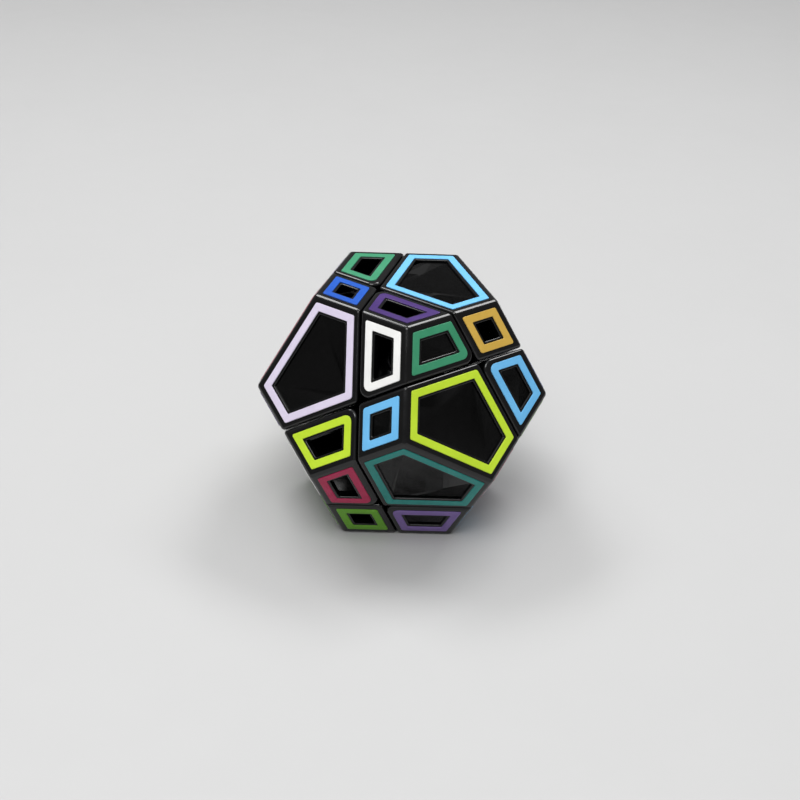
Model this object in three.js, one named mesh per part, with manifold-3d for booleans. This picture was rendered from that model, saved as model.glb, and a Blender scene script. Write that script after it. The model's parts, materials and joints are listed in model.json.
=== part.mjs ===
// A dodecahedron twisty puzzle: four cuts through its centre part it into eight corners and six edges.
// Every corner and edge is a hollow black shell with a window in each of its faces, framed in colour.
// Inside, each shell sits on a foot, and the feet are held by a core with four sprung screws.
// All sizes are in millimetres.

import * as THREE from 'three';
import { mergeVertices } from 'three/addons/utils/BufferGeometryUtils.js';
import Module from 'manifold-3d';

const wasm = await Module();
wasm.setup();

// The dodecahedron. Its vertices are a cube's corners and twelve more, on the scale of half the cube's edge.
const PHI = (1 + Math.sqrt(5)) / 2;
const EDGE = 30;
const UNIT = (EDGE * PHI) / 2;
const INRADIUS = (UNIT * PHI * PHI) / Math.hypot(1, PHI);

// The shells.
const HALF_GAP = 0.2; // from a cut plane to the shell beside it
const OUTER_WALL = 2;
const SIDE_WALL = 1.3;
const FLOOR_INSIDE = 20.3; // radii of the round floor under a shell
const FLOOR_OUTSIDE = 21.7;
const EDGE_CHAMFER = 0.5;
const CROSSING_CHAMFER = 1.1; // where the cuts cross

// The coloured frames, inset from the outline that the cuts give a face of a piece.
const FRAME_INSET = 1.8;
const FRAME_WIDTH = 2.05;
const FRAME_PROUD = 0.2;
const FRAME_DEPTH = 0.6;
const WINDOW_LIP = 0.7; // black rim between a frame and its window
const WINDOW_INSET = FRAME_INSET + FRAME_WIDTH + WINDOW_LIP;
const GROOVE_PLAY = 0.2;
const GROOVE_DEPTH = FRAME_DEPTH + 0.3;

// The feet: tongues between two spheres, turning under the flanges between two wider ones.
const TONGUE_INSIDE = 10;
const TONGUE_OUTSIDE = 13.2;
const FLANGE_INSIDE = 13.9;
const FLANGE_OUTSIDE = 19.8;
const NECK_INSIDE = 12.2; // the neck overlaps both layers, to join them
const NECK_OUTSIDE = 14.8;
const TONGUE_ANGLE = 96; // degrees from a screw's axis, past the cut at 90
const RECESS_ANGLE = 97.5;
const BOSS_TOP = 22.4;
const BOSS_BOTTOM = 17;
const CORNER_BOSS_RADIUS = 4.4;
const EDGE_BOSS_RADIUS = 5;
const BOSS_PLAY = 0.3;

// The core, and the sprung screw in each of its four arms. Heights are from the puzzle's centre.
const CORE_RADIUS = 9.4;
const ARM_RADIUS = 2;
const ARM_TOP = 13.1;
const THREAD_RADIUS = 1.25;
const THREAD_BOTTOM = 4.6;
const SHANK_RADIUS = 1;
const SHANK_BOTTOM = 5;
const BORE_RADIUS = 1.35;
const WELL_RADIUS = 3.3;
const WELL_FLOOR = 15;
const WASHER_RADIUS = 2.9;
const WASHER_BOTTOM = 15.3;
const WASHER_TOP = 15.7;
const SPRING_BOTTOM = 16;
const SPRING_TOP = 19.1;
const SPRING_RADIUS = 2.2;
const SPRING_WIRE = 0.22;
const SPRING_TURNS = 3; // few enough to leave room for the corner to lift
const HEAD_RADIUS = 2.8;
const HEAD_BOTTOM = 19.4;
const HEAD_TOP = 20.9;
const HEAD_CHAMFER = 0.5;
const SCREW_POINT = 0.6; // height of the cone at its end
const RECESS_LENGTH = 3.2;
const RECESS_WIDTH = 0.8;
const RECESS_DEPTH = 0.9;
const CAP_PLUG_RADIUS = 3;
const CAP_PLUG_BOTTOM = 21.3;
const CAP_RADIUS = 4.2;
const CAP_BOTTOM = 22.7;
const CAP_TOP = 23.7;
const CAP_SLOPE = 0.5; // how far the cap's side leans in
const CAP_SIDE = 0.6; // and how high it is

// How finely round shapes are faceted.
const SPHERE_DETAIL = 2;
const CONE_SIDES = 12;
const BOSS_SIDES = 20;
const SMALL_SIDES = 10;
const WIRE_SIDES = 4;
const STEPS_PER_TURN = 8;

const BLOCK = 100; // the block that a shell is cut from
const FAR = 400; // larger than any block, for what cuts it back
const OVERCUT = 1; // how far a cutting shape reaches past what it cuts
const MERGE_DISTANCE = 1e-4;
const SAME_WAY = 0.99; // the cosine past which two directions count as one
const UP = new THREE.Vector3(0, 0, 1);

const MATERIALS = {
  shell: { color: 0x0b0b0c, roughness: 0.16, metalness: 0 },
  foot: { color: 0x141416, roughness: 0.4, metalness: 0 },
  core: { color: 0x17171a, roughness: 0.4, metalness: 0 },
  cap: { color: 0x0c0c0d, roughness: 0.2, metalness: 0 },
  steel: { color: 0xb4b7bb, roughness: 0.3, metalness: 1 },
  white: { color: 0xf6f5f1, roughness: 0.45, metalness: 0 },
  lavender: { color: 0xcbb8e6, roughness: 0.45, metalness: 0 },
  lime: { color: 0xc4e235, roughness: 0.45, metalness: 0 },
  sky: { color: 0x73c3f0, roughness: 0.45, metalness: 0 },
  gold: { color: 0xcda93f, roughness: 0.45, metalness: 0 },
  sea_green: { color: 0x35916c, roughness: 0.45, metalness: 0 },
  purple: { color: 0x4a2a80, roughness: 0.45, metalness: 0 },
  royal_blue: { color: 0x0a5ec8, roughness: 0.45, metalness: 0 },
  turquoise: { color: 0x2fb0a6, roughness: 0.45, metalness: 0 },
  raspberry: { color: 0xc41752, roughness: 0.45, metalness: 0 },
  violet: { color: 0x8c72b4, roughness: 0.45, metalness: 0 },
  grass_green: { color: 0x6fb02c, roughness: 0.45, metalness: 0 },
};

// The eight corners, by the direction of their axes. The first four are screwed to the core.
const CORNERS = [
  { name: 'top_front_corner', direction: [1, 1, 1], screwed: true },
  { name: 'left_corner', direction: [-1, -1, 1], screwed: true },
  { name: 'back_right_corner', direction: [-1, 1, -1], screwed: true },
  { name: 'bottom_front_corner', direction: [1, -1, -1], screwed: true },
  { name: 'right_corner', direction: [1, 1, -1], screwed: false },
  { name: 'front_left_corner', direction: [1, -1, 1], screwed: false },
  { name: 'top_back_corner', direction: [-1, 1, 1], screwed: false },
  { name: 'bottom_back_corner', direction: [-1, -1, -1], screwed: false },
];

const EDGES = [
  { name: 'front_edge', direction: [1, 0, 0] },
  { name: 'back_edge', direction: [-1, 0, 0] },
  { name: 'top_edge', direction: [0, 1, 0] },
  { name: 'bottom_edge', direction: [0, -1, 0] },
  { name: 'left_edge', direction: [0, 0, 1] },
  { name: 'right_edge', direction: [0, 0, -1] },
];

// The colour of each face's pentagonal frame. The face's normal has PHI of its long axis and 1 of its short.
const PENTAGONS = [
  { long: [1, 0, 0], short: [0, 1, 0], color: 'lime' },
  { long: [1, 0, 0], short: [0, -1, 0], color: 'turquoise' },
  { long: [-1, 0, 0], short: [0, 1, 0], color: 'gold' },
  { long: [-1, 0, 0], short: [0, -1, 0], color: 'purple' },
  { long: [0, 1, 0], short: [0, 0, 1], color: 'sky' },
  { long: [0, 1, 0], short: [0, 0, -1], color: 'white' },
  { long: [0, -1, 0], short: [0, 0, 1], color: 'grass_green' },
  { long: [0, -1, 0], short: [0, 0, -1], color: 'royal_blue' },
  { long: [0, 0, 1], short: [1, 0, 0], color: 'lavender' },
  { long: [0, 0, 1], short: [-1, 0, 0], color: 'raspberry' },
  { long: [0, 0, -1], short: [1, 0, 0], color: 'violet' },
  { long: [0, 0, -1], short: [-1, 0, 0], color: 'sea_green' },
];

function toSolid(geometry) {
  const bare = geometry.clone();
  bare.deleteAttribute('normal');
  bare.deleteAttribute('uv');
  const merged = mergeVertices(bare, MERGE_DISTANCE);
  const mesh = new wasm.Mesh({
    numProp: 3,
    vertProperties: new Float32Array(merged.attributes.position.array),
    triVerts: new Uint32Array(merged.index.array),
  });
  return new wasm.Manifold(mesh);
}

function toMesh(name, solid, materialName) {
  const { vertProperties, triVerts } = solid.getMesh();
  const geometry = new THREE.BufferGeometry();
  geometry.setAttribute('position', new THREE.BufferAttribute(vertProperties, 3));
  geometry.setIndex(new THREE.BufferAttribute(triVerts, 1));
  const flat = geometry.toNonIndexed();
  flat.computeVertexNormals();
  const mesh = new THREE.Mesh(flat, new THREE.MeshStandardMaterial(MATERIALS[materialName]));
  mesh.name = name;
  return mesh;
}

function unit(direction) {
  return new THREE.Vector3(...direction).normalize();
}

// Turns a geometry made along +Z to lie along a direction.
function along(geometry, direction) {
  return geometry.applyQuaternion(new THREE.Quaternion().setFromUnitVectors(UP, direction));
}

function sphere(radius) {
  return toSolid(new THREE.IcosahedronGeometry(radius, SPHERE_DETAIL));
}

function cylinder(direction, radius, bottom, top, sides = BOSS_SIDES) {
  const geometry = new THREE.CylinderGeometry(radius, radius, top - bottom, sides);
  geometry.rotateX(Math.PI / 2).translate(0, 0, (bottom + top) / 2);
  return toSolid(along(geometry, direction));
}

// Turns a closed profile of [radius, height] points about a direction.
function turned(direction, profile, sides) {
  const points = profile.map(([radius, height]) => new THREE.Vector2(radius, height));
  const geometry = new THREE.LatheGeometry(points, sides);
  geometry.rotateX(Math.PI / 2);
  return toSolid(along(geometry, direction));
}

// Everything within an angle of a direction, as seen from the centre.
function cone(direction, degrees) {
  const angle = THREE.MathUtils.degToRad(degrees);
  const rim = [BLOCK * Math.sin(angle), BLOCK * Math.cos(angle)];
  return turned(direction, [[0, 0], rim, [rim[0], BLOCK], [0, BLOCK]], CONE_SIDES);
}

// Everything past a plane, which is given by its outward normal and its distance from the centre.
function beyond({ normal, distance }) {
  const block = new THREE.BoxGeometry(FAR, FAR, FAR);
  block.translate(0, 0, FAR / 2 + distance);
  return toSolid(along(block, normal));
}

function cutBack(solid, planes) {
  return planes.reduce((rest, plane) => rest.subtract(beyond(plane)), solid);
}

// The planes of a piece: its faces at a depth under the skin, and the cuts beside it with a gap to each.
function facePlanes(piece, depth) {
  const faces = FACES.filter((face) => face.outlines.some((outline) => outline.piece === piece.name));
  return faces.map((face) => ({ normal: face.normal, distance: INRADIUS - depth }));
}

function cutPlanes(piece, gap) {
  const axis = unit(piece.direction);
  const normals = SCREW_AXES.map((screw) => screw.clone().multiplyScalar(-Math.sign(screw.dot(axis))));
  const own = normals.filter((normal) => Math.abs(normal.dot(axis)) < SAME_WAY);
  return own.map((normal) => ({ normal, distance: -gap }));
}

// The plane that takes off the ridge between two planes.
function chamferPlane(first, second, size) {
  const sum = first.normal.clone().add(second.normal);
  const length = sum.length();
  const sine = first.normal.clone().cross(second.normal).length() / length;
  const ridge = (first.distance + second.distance) / length;
  return { normal: sum.divideScalar(length), distance: ridge - size * sine };
}

function chamferPlanes(faces, cuts) {
  const planes = [...faces, ...cuts];
  return planes.flatMap((first, index) => {
    const size = index < faces.length ? EDGE_CHAMFER : CROSSING_CHAMFER;
    return planes.slice(index + 1).map((second) => chamferPlane(first, second, size));
  });
}

// A face of the dodecahedron: its plane, and the outlines of its four pieces in that plane.
function makeFace({ long, short, color }) {
  const a = new THREE.Vector3(...long);
  const b = new THREE.Vector3(...short);
  const c = a.clone().cross(b);
  const axes = new THREE.Matrix4().makeBasis(a, b, c);
  const point = (i, j, k) => new THREE.Vector3(i, j, k).applyMatrix4(axes).multiplyScalar(UNIT);
  const middle = (p, q) => p.clone().lerp(q, 0.5);
  const normal = a.clone().multiplyScalar(PHI).add(b).normalize();
  const baseStart = point(PHI, 0, 1 / PHI);
  const baseEnd = point(PHI, 0, -1 / PHI);
  const endCorner = point(1, 1, -1);
  const apex = point(1 / PHI, PHI, 0);
  const startCorner = point(1, 1, 1);
  const startSide = middle(startCorner, baseStart);
  const endSide = middle(baseEnd, endCorner);
  const startTop = middle(startCorner, apex);
  const endTop = middle(endCorner, apex);
  const crossing = startTop.clone().add(endTop).sub(apex);
  const outlines = [
    { shape: 'pentagon', at: a, points: [baseStart, baseEnd, endSide, crossing, startSide] },
    { shape: 'trapezoid', at: endCorner, points: [endCorner, endTop, crossing, endSide] },
    { shape: 'rhombus', at: b, points: [apex, startTop, crossing, endTop] },
    { shape: 'trapezoid', at: startCorner, points: [startCorner, startSide, crossing, startTop] },
  ];
  const across = c.clone().negate();
  const upward = normal.clone().cross(across);
  for (const outline of outlines) {
    outline.piece = nearestPiece(outline.at).name;
    outline.flat = outline.points.map((p) => new THREE.Vector2(p.dot(across), p.dot(upward)));
    if (THREE.ShapeUtils.isClockWise(outline.flat)) outline.flat.reverse();
  }
  return { normal, color, outlines, placing: new THREE.Matrix4().makeBasis(across, upward, normal) };
}

function nearestPiece(point) {
  const direction = point.clone().normalize();
  return [...CORNERS, ...EDGES].find((piece) => unit(piece.direction).dot(direction) > SAME_WAY);
}

// A convex outline, anticlockwise, with each side moved inwards.
function inset(outline, distance) {
  const sides = outline.map((start, index) => {
    const heading = outline[(index + 1) % outline.length].clone().sub(start).normalize();
    const inwards = new THREE.Vector2(-heading.y, heading.x);
    return { start: inwards.multiplyScalar(distance).add(start), heading };
  });
  return sides.map((side, index) => {
    const before = sides[(index + sides.length - 1) % sides.length];
    const between = side.start.clone().sub(before.start);
    const step = between.cross(side.heading) / before.heading.cross(side.heading);
    return before.start.clone().addScaledVector(before.heading, step);
  });
}

// A flat plate on a face, between two heights over its skin, with an optional hole.
function plate(face, outer, hole, bottom, top) {
  const shape = new THREE.Shape(outer);
  if (hole) shape.holes.push(new THREE.Path(hole));
  const geometry = new THREE.ExtrudeGeometry(shape, { depth: top - bottom, bevelEnabled: false });
  geometry.translate(0, 0, INRADIUS + bottom);
  return toSolid(geometry.applyMatrix4(face.placing));
}

function frameRing(face, outline, play, bottom, top) {
  const outer = inset(outline.flat, FRAME_INSET - play);
  const inner = inset(outline.flat, FRAME_INSET + FRAME_WIDTH + play);
  return plate(face, outer, inner, bottom, top);
}

function windowHole(face, outline) {
  return plate(face, inset(outline.flat, WINDOW_INSET), null, -OUTER_WALL - OVERCUT, OVERCUT);
}

function makeShell(piece, bossRadius) {
  const faces = facePlanes(piece, 0);
  const cuts = cutPlanes(piece, HALF_GAP);
  const block = toSolid(new THREE.BoxGeometry(BLOCK, BLOCK, BLOCK));
  const skin = cutBack(block, [...faces, ...cuts, ...chamferPlanes(faces, cuts)]);
  const inside = [...facePlanes(piece, OUTER_WALL), ...cutPlanes(piece, HALF_GAP + SIDE_WALL)];
  const cavity = cutBack(block, inside).subtract(sphere(FLOOR_OUTSIDE));
  let shell = skin.subtract(sphere(FLOOR_INSIDE)).subtract(cavity);
  const bossHole = cylinder(unit(piece.direction), bossRadius + BOSS_PLAY, BOSS_BOTTOM, BOSS_TOP + OVERCUT);
  shell = shell.subtract(bossHole);
  for (const face of FACES) {
    for (const outline of face.outlines.filter((each) => each.piece === piece.name)) {
      shell = shell.subtract(windowHole(face, outline));
      if (outline.shape === 'pentagon') {
        shell = shell.subtract(frameRing(face, outline, GROOVE_PLAY, -GROOVE_DEPTH, OVERCUT));
      } else {
        shell = shell.add(frameRing(face, outline, 0, -FRAME_DEPTH, FRAME_PROUD));
      }
    }
  }
  return shell;
}

// The layer of a foot that turns under the flanges. It reaches past the cuts on the screws' own sides.
function tongueLayer(piece) {
  const axis = unit(piece.direction);
  let layer = sphere(TONGUE_OUTSIDE).subtract(sphere(TONGUE_INSIDE));
  for (const screw of SCREW_AXES) {
    const opposite = screw.clone().negate();
    if (screw.dot(axis) > 0) {
      layer = layer.subtract(cone(opposite, 180 - TONGUE_ANGLE));
    } else {
      layer = layer.intersect(cone(opposite, 180 - RECESS_ANGLE));
    }
  }
  return layer;
}

function neckLayer(piece) {
  const axis = unit(piece.direction);
  let layer = sphere(NECK_OUTSIDE).subtract(sphere(NECK_INSIDE));
  for (const screw of SCREW_AXES.filter((each) => each.dot(axis) < 0)) {
    layer = layer.intersect(cone(screw.clone().negate(), 180 - RECESS_ANGLE));
  }
  return cutBack(layer, cutPlanes(piece, HALF_GAP));
}

function flangeLayer(piece) {
  return cutBack(sphere(FLANGE_OUTSIDE).subtract(sphere(FLANGE_INSIDE)), cutPlanes(piece, HALF_GAP));
}

function makeFoot(piece, bossRadius) {
  const boss = cylinder(unit(piece.direction), bossRadius, BOSS_BOTTOM, BOSS_TOP);
  return flangeLayer(piece).add(neckLayer(piece)).add(tongueLayer(piece)).add(boss);
}

// A screwed corner's foot has no tongue. The screw goes through it, and the spring stands in its well.
function makeScrewedFoot(piece) {
  const axis = unit(piece.direction);
  const foot = flangeLayer(piece).add(cylinder(axis, CORNER_BOSS_RADIUS, BOSS_BOTTOM, BOSS_TOP));
  const bore = cylinder(axis, BORE_RADIUS, FLANGE_INSIDE - OVERCUT, WELL_FLOOR + OVERCUT, SMALL_SIDES);
  const well = cylinder(axis, WELL_RADIUS, WELL_FLOOR, BOSS_TOP + OVERCUT);
  return foot.subtract(bore).subtract(well);
}

function makeCore() {
  let core = sphere(CORE_RADIUS);
  for (const axis of SCREW_AXES) {
    core = core.add(cylinder(axis, ARM_RADIUS, 0, ARM_TOP, SMALL_SIDES));
  }
  for (const axis of SCREW_AXES) {
    core = core.subtract(cylinder(axis, THREAD_RADIUS, THREAD_BOTTOM, ARM_TOP + OVERCUT, SMALL_SIDES));
  }
  return core;
}

function makeScrew(axis) {
  const profile = [
    [0, SHANK_BOTTOM],
    [SHANK_RADIUS, SHANK_BOTTOM + SCREW_POINT],
    [SHANK_RADIUS, HEAD_BOTTOM],
    [HEAD_RADIUS, HEAD_BOTTOM],
    [HEAD_RADIUS, HEAD_TOP - HEAD_CHAMFER],
    [HEAD_RADIUS - HEAD_CHAMFER, HEAD_TOP],
    [0, HEAD_TOP],
  ];
  const recess = (length, width) => {
    const slot = new THREE.BoxGeometry(length, width, 2 * RECESS_DEPTH);
    return toSolid(along(slot.translate(0, 0, HEAD_TOP), axis));
  };
  const screw = turned(axis, profile, SMALL_SIDES);
  return screw.subtract(recess(RECESS_LENGTH, RECESS_WIDTH)).subtract(recess(RECESS_WIDTH, RECESS_LENGTH));
}

function makeWasher(axis) {
  const profile = [
    [BORE_RADIUS, WASHER_BOTTOM],
    [WASHER_RADIUS, WASHER_BOTTOM],
    [WASHER_RADIUS, WASHER_TOP],
    [BORE_RADIUS, WASHER_TOP],
    [BORE_RADIUS, WASHER_BOTTOM],
  ];
  return turned(axis, profile, SMALL_SIDES);
}

class Helix extends THREE.Curve {
  getPoint(share, target = new THREE.Vector3()) {
    const angle = share * SPRING_TURNS * 2 * Math.PI;
    const bottom = SPRING_BOTTOM + SPRING_WIRE;
    const height = bottom + share * (SPRING_TOP - SPRING_WIRE - bottom);
    return target.set(SPRING_RADIUS * Math.cos(angle), SPRING_RADIUS * Math.sin(angle), height);
  }
}

function makeSpring(axis) {
  const section = new THREE.Shape();
  section.absarc(0, 0, SPRING_WIRE, 0, 2 * Math.PI);
  const wire = new THREE.Shape(section.getSpacedPoints(WIRE_SIDES).slice(0, WIRE_SIDES));
  const steps = SPRING_TURNS * STEPS_PER_TURN;
  const geometry = new THREE.ExtrudeGeometry(wire, { steps, extrudePath: new Helix(), bevelEnabled: false });
  return toSolid(along(geometry, axis));
}

function makeCap(axis) {
  const profile = [
    [0, CAP_PLUG_BOTTOM],
    [CAP_PLUG_RADIUS, CAP_PLUG_BOTTOM],
    [CAP_PLUG_RADIUS, CAP_BOTTOM],
    [CAP_RADIUS, CAP_BOTTOM],
    [CAP_RADIUS - CAP_SLOPE, CAP_BOTTOM + CAP_SIDE],
    [0, CAP_TOP],
  ];
  return turned(axis, profile, SMALL_SIDES);
}

const SCREW_AXES = CORNERS.filter((corner) => corner.screwed).map((corner) => unit(corner.direction));
const FACES = PENTAGONS.map(makeFace);

const puzzle = new THREE.Group();
puzzle.add(toMesh('core', makeCore(), 'core'));

for (const corner of CORNERS) {
  puzzle.add(toMesh(`${corner.name}_shell`, makeShell(corner, CORNER_BOSS_RADIUS), 'shell'));
  const foot = corner.screwed ? makeScrewedFoot(corner) : makeFoot(corner, CORNER_BOSS_RADIUS);
  puzzle.add(toMesh(`${corner.name}_foot`, foot, 'foot'));
  if (corner.screwed) {
    const axis = unit(corner.direction);
    puzzle.add(toMesh(`${corner.name}_screw`, makeScrew(axis), 'steel'));
    puzzle.add(toMesh(`${corner.name}_spring`, makeSpring(axis), 'steel'));
    puzzle.add(toMesh(`${corner.name}_washer`, makeWasher(axis), 'steel'));
    puzzle.add(toMesh(`${corner.name}_cap`, makeCap(axis), 'cap'));
  }
}

for (const edge of EDGES) {
  puzzle.add(toMesh(`${edge.name}_shell`, makeShell(edge, EDGE_BOSS_RADIUS), 'shell'));
  puzzle.add(toMesh(`${edge.name}_foot`, makeFoot(edge, EDGE_BOSS_RADIUS), 'foot'));
}

for (const face of FACES) {
  const pentagon = face.outlines.find((outline) => outline.shape === 'pentagon');
  const ring = frameRing(face, pentagon, 0, -FRAME_DEPTH, FRAME_PROUD);
  puzzle.add(toMesh(`${face.color}_pentagon_frame`, ring, face.color));
}

// The puzzle stands on a face, with the first corner towards the front, and its origin under its centre.
function standOnFace(group) {
  const top = new THREE.Vector3(0, PHI, 1).normalize();
  const frontCorner = unit(CORNERS[0].direction);
  const back = frontCorner.clone().addScaledVector(top, -frontCorner.dot(top)).normalize().negate();
  const right = back.clone().cross(top);
  group.quaternion.setFromRotationMatrix(new THREE.Matrix4().makeBasis(right, back, top).transpose());
  group.position.z = INRADIUS + FRAME_PROUD;
}

standOnFace(puzzle);

export default puzzle;
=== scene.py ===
"""A dodecahedron twisty puzzle: fourteen hollow shells, their coloured window frames, and the studio they stand in.

The core, feet, screws and washers come from the frame and are given their finishes here. The shells, the
window frames, the screw caps and the springs are modelled again, finer than the frame holds them. They are
shaped in millimetres about the puzzle's centre, on the axes of the cube inside the dodecahedron, and are placed
in the frame's metres when they are done.
"""

import json
import logging
import math
from dataclasses import dataclass, field
from enum import Enum
from itertools import combinations

import bmesh
import bpy
from mathutils import Matrix, Vector


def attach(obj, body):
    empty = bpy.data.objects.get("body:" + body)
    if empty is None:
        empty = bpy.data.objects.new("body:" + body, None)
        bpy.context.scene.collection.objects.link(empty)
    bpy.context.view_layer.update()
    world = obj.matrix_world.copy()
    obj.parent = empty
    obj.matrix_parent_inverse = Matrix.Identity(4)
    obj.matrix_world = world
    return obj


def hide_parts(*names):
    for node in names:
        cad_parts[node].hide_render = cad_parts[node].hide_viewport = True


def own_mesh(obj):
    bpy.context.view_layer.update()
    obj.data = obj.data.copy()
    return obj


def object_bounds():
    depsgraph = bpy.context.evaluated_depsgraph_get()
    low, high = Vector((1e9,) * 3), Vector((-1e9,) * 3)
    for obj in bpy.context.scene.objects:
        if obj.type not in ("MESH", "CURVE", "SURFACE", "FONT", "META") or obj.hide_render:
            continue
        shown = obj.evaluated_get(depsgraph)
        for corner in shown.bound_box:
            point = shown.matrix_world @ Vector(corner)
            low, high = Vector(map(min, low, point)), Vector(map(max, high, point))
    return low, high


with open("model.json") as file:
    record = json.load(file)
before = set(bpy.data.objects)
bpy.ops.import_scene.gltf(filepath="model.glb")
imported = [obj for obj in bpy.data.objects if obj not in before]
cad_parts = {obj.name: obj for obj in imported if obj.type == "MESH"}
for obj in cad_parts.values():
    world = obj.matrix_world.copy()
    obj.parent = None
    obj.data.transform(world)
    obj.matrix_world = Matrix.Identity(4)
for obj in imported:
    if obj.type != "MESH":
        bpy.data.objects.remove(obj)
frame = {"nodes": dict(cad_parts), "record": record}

log = logging.getLogger("puzzle")

CAD_LOW, CAD_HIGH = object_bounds()

MM = 0.001
ORIGIN = Vector((0, 0, 0))
UP = Vector((0, 0, 1))
PHI = (1 + math.sqrt(5)) / 2
FRAME_PROUD = 0.2  # how far a window frame stands out of its face
INRADIUS = (CAD_HIGH.z - CAD_LOW.z) / (2 * MM) - FRAME_PROUD
UNIT = INRADIUS * math.hypot(1, PHI) / PHI**2  # half the edge of the cube inside the dodecahedron
FAR = 100.0  # beyond the puzzle on every side
TOUCH = 1e-3  # how near a point is to a plane that it lies on
SAME_WAY = 0.999  # the cosine past which two directions count as one
SCREW_AXES = [Vector(axis).normalized() for axis in ((1, 1, 1), (-1, -1, 1), (-1, 1, -1), (1, -1, -1))]


class Hue(Enum):
    """The colours of the window frames, as red, green and blue from 0 to 1 on a screen."""

    WHITE = (0.97, 0.97, 0.96)
    LAVENDER = (0.88, 0.84, 0.93)
    LIME = (0.77, 0.90, 0.17)
    SKY = (0.42, 0.74, 0.95)
    GOLD = (0.83, 0.67, 0.27)
    SEA_GREEN = (0.20, 0.56, 0.40)
    PURPLE = (0.23, 0.11, 0.41)
    ROYAL_BLUE = (0.0, 0.31, 0.73)
    TURQUOISE = (0.06, 0.51, 0.48)
    RASPBERRY = (0.67, 0.02, 0.27)
    VIOLET = (0.46, 0.36, 0.62)
    GRASS_GREEN = (0.37, 0.63, 0.06)


class Shape(Enum):
    """The outlines that the cuts make on a face."""

    PENTAGON = "pentagon"
    RHOMBUS = "rhombus"
    TRAPEZOID = "trapezoid"


class Kind(Enum):
    """The two kinds of shell."""

    CORNER = "corner"
    EDGE = "edge"


@dataclass(frozen=True)
class Plane:
    """A plane, by its outward normal and its distance from the puzzle's centre."""

    normal: Vector
    distance: float

    def holds(self, point: Vector) -> bool:
        """Says whether a point lies on the plane."""
        return abs(self.normal.dot(point) - self.distance) < TOUCH


@dataclass(frozen=True)
class Outline:
    """One piece's share of a face.

    The corners run round the outline, and the one where the two cuts cross is just past halfway.
    """

    shape: Shape
    owner: Vector
    corners: tuple[Vector, ...]
    skin: Plane
    hue: Hue

    @property
    def crossing(self) -> int:
        """The number of the corner where the cuts cross."""
        return (len(self.corners) + 1) // 2


@dataclass(frozen=True)
class Face:
    """A face of the dodecahedron, with the colours of its four windows.

    The face's normal has PHI of the long axis and 1 of the short one.
    """

    long: tuple[int, int, int]
    short: tuple[int, int, int]
    pentagon: Hue
    rhombus: Hue
    start: Hue
    end: Hue

    def outlines(self) -> list[Outline]:
        """Works out the four outlines that the cuts make on the face.

        Returns:
            The pentagon, the end trapezoid, the rhombus and the start trapezoid.
        """
        a, b = Vector(self.long), Vector(self.short)
        c = a.cross(b)
        skin = Plane((PHI * a + b).normalized(), INRADIUS)
        base_start = UNIT * (PHI * a + c / PHI)
        base_end = UNIT * (PHI * a - c / PHI)
        end_corner = UNIT * (a + b - c)
        apex = UNIT * (a / PHI + PHI * b)
        start_corner = UNIT * (a + b + c)
        start_side = start_corner.lerp(base_start, 0.5)
        end_side = base_end.lerp(end_corner, 0.5)
        start_top = start_corner.lerp(apex, 0.5)
        end_top = end_corner.lerp(apex, 0.5)
        crossing = start_top + end_top - apex
        pentagon = (base_start, base_end, end_side, crossing, start_side)
        end = (end_corner, end_top, crossing, end_side)
        rhombus = (apex, start_top, crossing, end_top)
        start = (start_corner, start_side, crossing, start_top)
        return [
            Outline(Shape.PENTAGON, a, pentagon, skin, self.pentagon),
            Outline(Shape.TRAPEZOID, end_corner.normalized(), end, skin, self.end),
            Outline(Shape.RHOMBUS, b, rhombus, skin, self.rhombus),
            Outline(Shape.TRAPEZOID, start_corner.normalized(), start, skin, self.start),
        ]


X, Y, Z = (1, 0, 0), (0, 1, 0), (0, 0, 1)
BACK_X, BACK_Y, BACK_Z = (-1, 0, 0), (0, -1, 0), (0, 0, -1)
FACES = [
    Face(Z, X, Hue.LAVENDER, Hue.SKY, Hue.WHITE, Hue.LIME),
    Face(X, Y, Hue.LIME, Hue.GOLD, Hue.SEA_GREEN, Hue.SKY),
    Face(Y, Z, Hue.SKY, Hue.ROYAL_BLUE, Hue.PURPLE, Hue.SEA_GREEN),
    Face(X, BACK_Y, Hue.TURQUOISE, Hue.GRASS_GREEN, Hue.VIOLET, Hue.RASPBERRY),
    Face(BACK_X, Y, Hue.GOLD, Hue.LAVENDER, Hue.RASPBERRY, Hue.TURQUOISE),
    Face(BACK_X, BACK_Y, Hue.PURPLE, Hue.WHITE, Hue.LIME, Hue.GOLD),
    Face(Y, BACK_Z, Hue.WHITE, Hue.TURQUOISE, Hue.LAVENDER, Hue.ROYAL_BLUE),
    Face(BACK_Y, Z, Hue.GRASS_GREEN, Hue.PURPLE, Hue.GOLD, Hue.WHITE),
    Face(BACK_Y, BACK_Z, Hue.ROYAL_BLUE, Hue.LIME, Hue.TURQUOISE, Hue.LAVENDER),
    Face(Z, BACK_X, Hue.RASPBERRY, Hue.SEA_GREEN, Hue.GRASS_GREEN, Hue.VIOLET),
    Face(BACK_Z, X, Hue.VIOLET, Hue.RASPBERRY, Hue.SKY, Hue.GRASS_GREEN),
    Face(BACK_Z, BACK_X, Hue.SEA_GREEN, Hue.VIOLET, Hue.ROYAL_BLUE, Hue.PURPLE),
]
OUTLINES = [outline for face in FACES for outline in face.outlines()]

CORNERS = {
    "top_front_corner": (1, 1, 1),
    "left_corner": (-1, -1, 1),
    "back_right_corner": (-1, 1, -1),
    "bottom_front_corner": (1, -1, -1),
    "right_corner": (1, 1, -1),
    "front_left_corner": (1, -1, 1),
    "top_back_corner": (-1, 1, 1),
    "bottom_back_corner": (-1, -1, -1),
}
EDGES = {
    "front_edge": X,
    "back_edge": BACK_X,
    "top_edge": Y,
    "bottom_edge": BACK_Y,
    "left_edge": Z,
    "right_edge": BACK_Z,
}


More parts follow.
